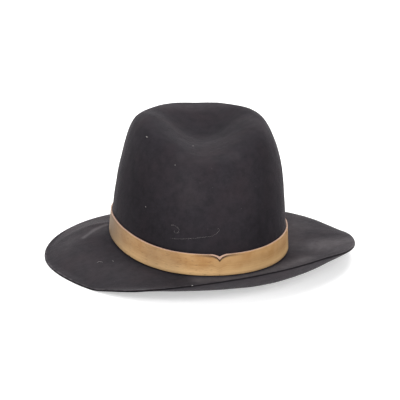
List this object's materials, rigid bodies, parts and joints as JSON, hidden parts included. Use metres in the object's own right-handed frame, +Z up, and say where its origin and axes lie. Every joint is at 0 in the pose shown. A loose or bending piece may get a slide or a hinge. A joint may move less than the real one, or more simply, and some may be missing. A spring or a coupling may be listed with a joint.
{
  "type": "felt hat",
  "caption": "Felt hat with a tall creased crown, a brim turned up at the back right, and a plain leather band round the foot of the crown.",
  "frame": {"origin": "middle of the hat's outline seen from above, on the surface that its brim rests on", "axes": "+Y towards the forehead, +X towards the wearer's right, +Z up; the band's ends meet at the back, at -Y"},
  "size_m": [0.3028, 0.3316, 0.1406],
  "materials": {
    "charcoal_felt": "matte wool felt",
    "tan_leather": "plain tanned leather with a raw cut edge"
  },
  "bodies": {
    "root": {"felt_body": "charcoal_felt", "hat_band": "tan_leather"}
  },
  "joints": []
}
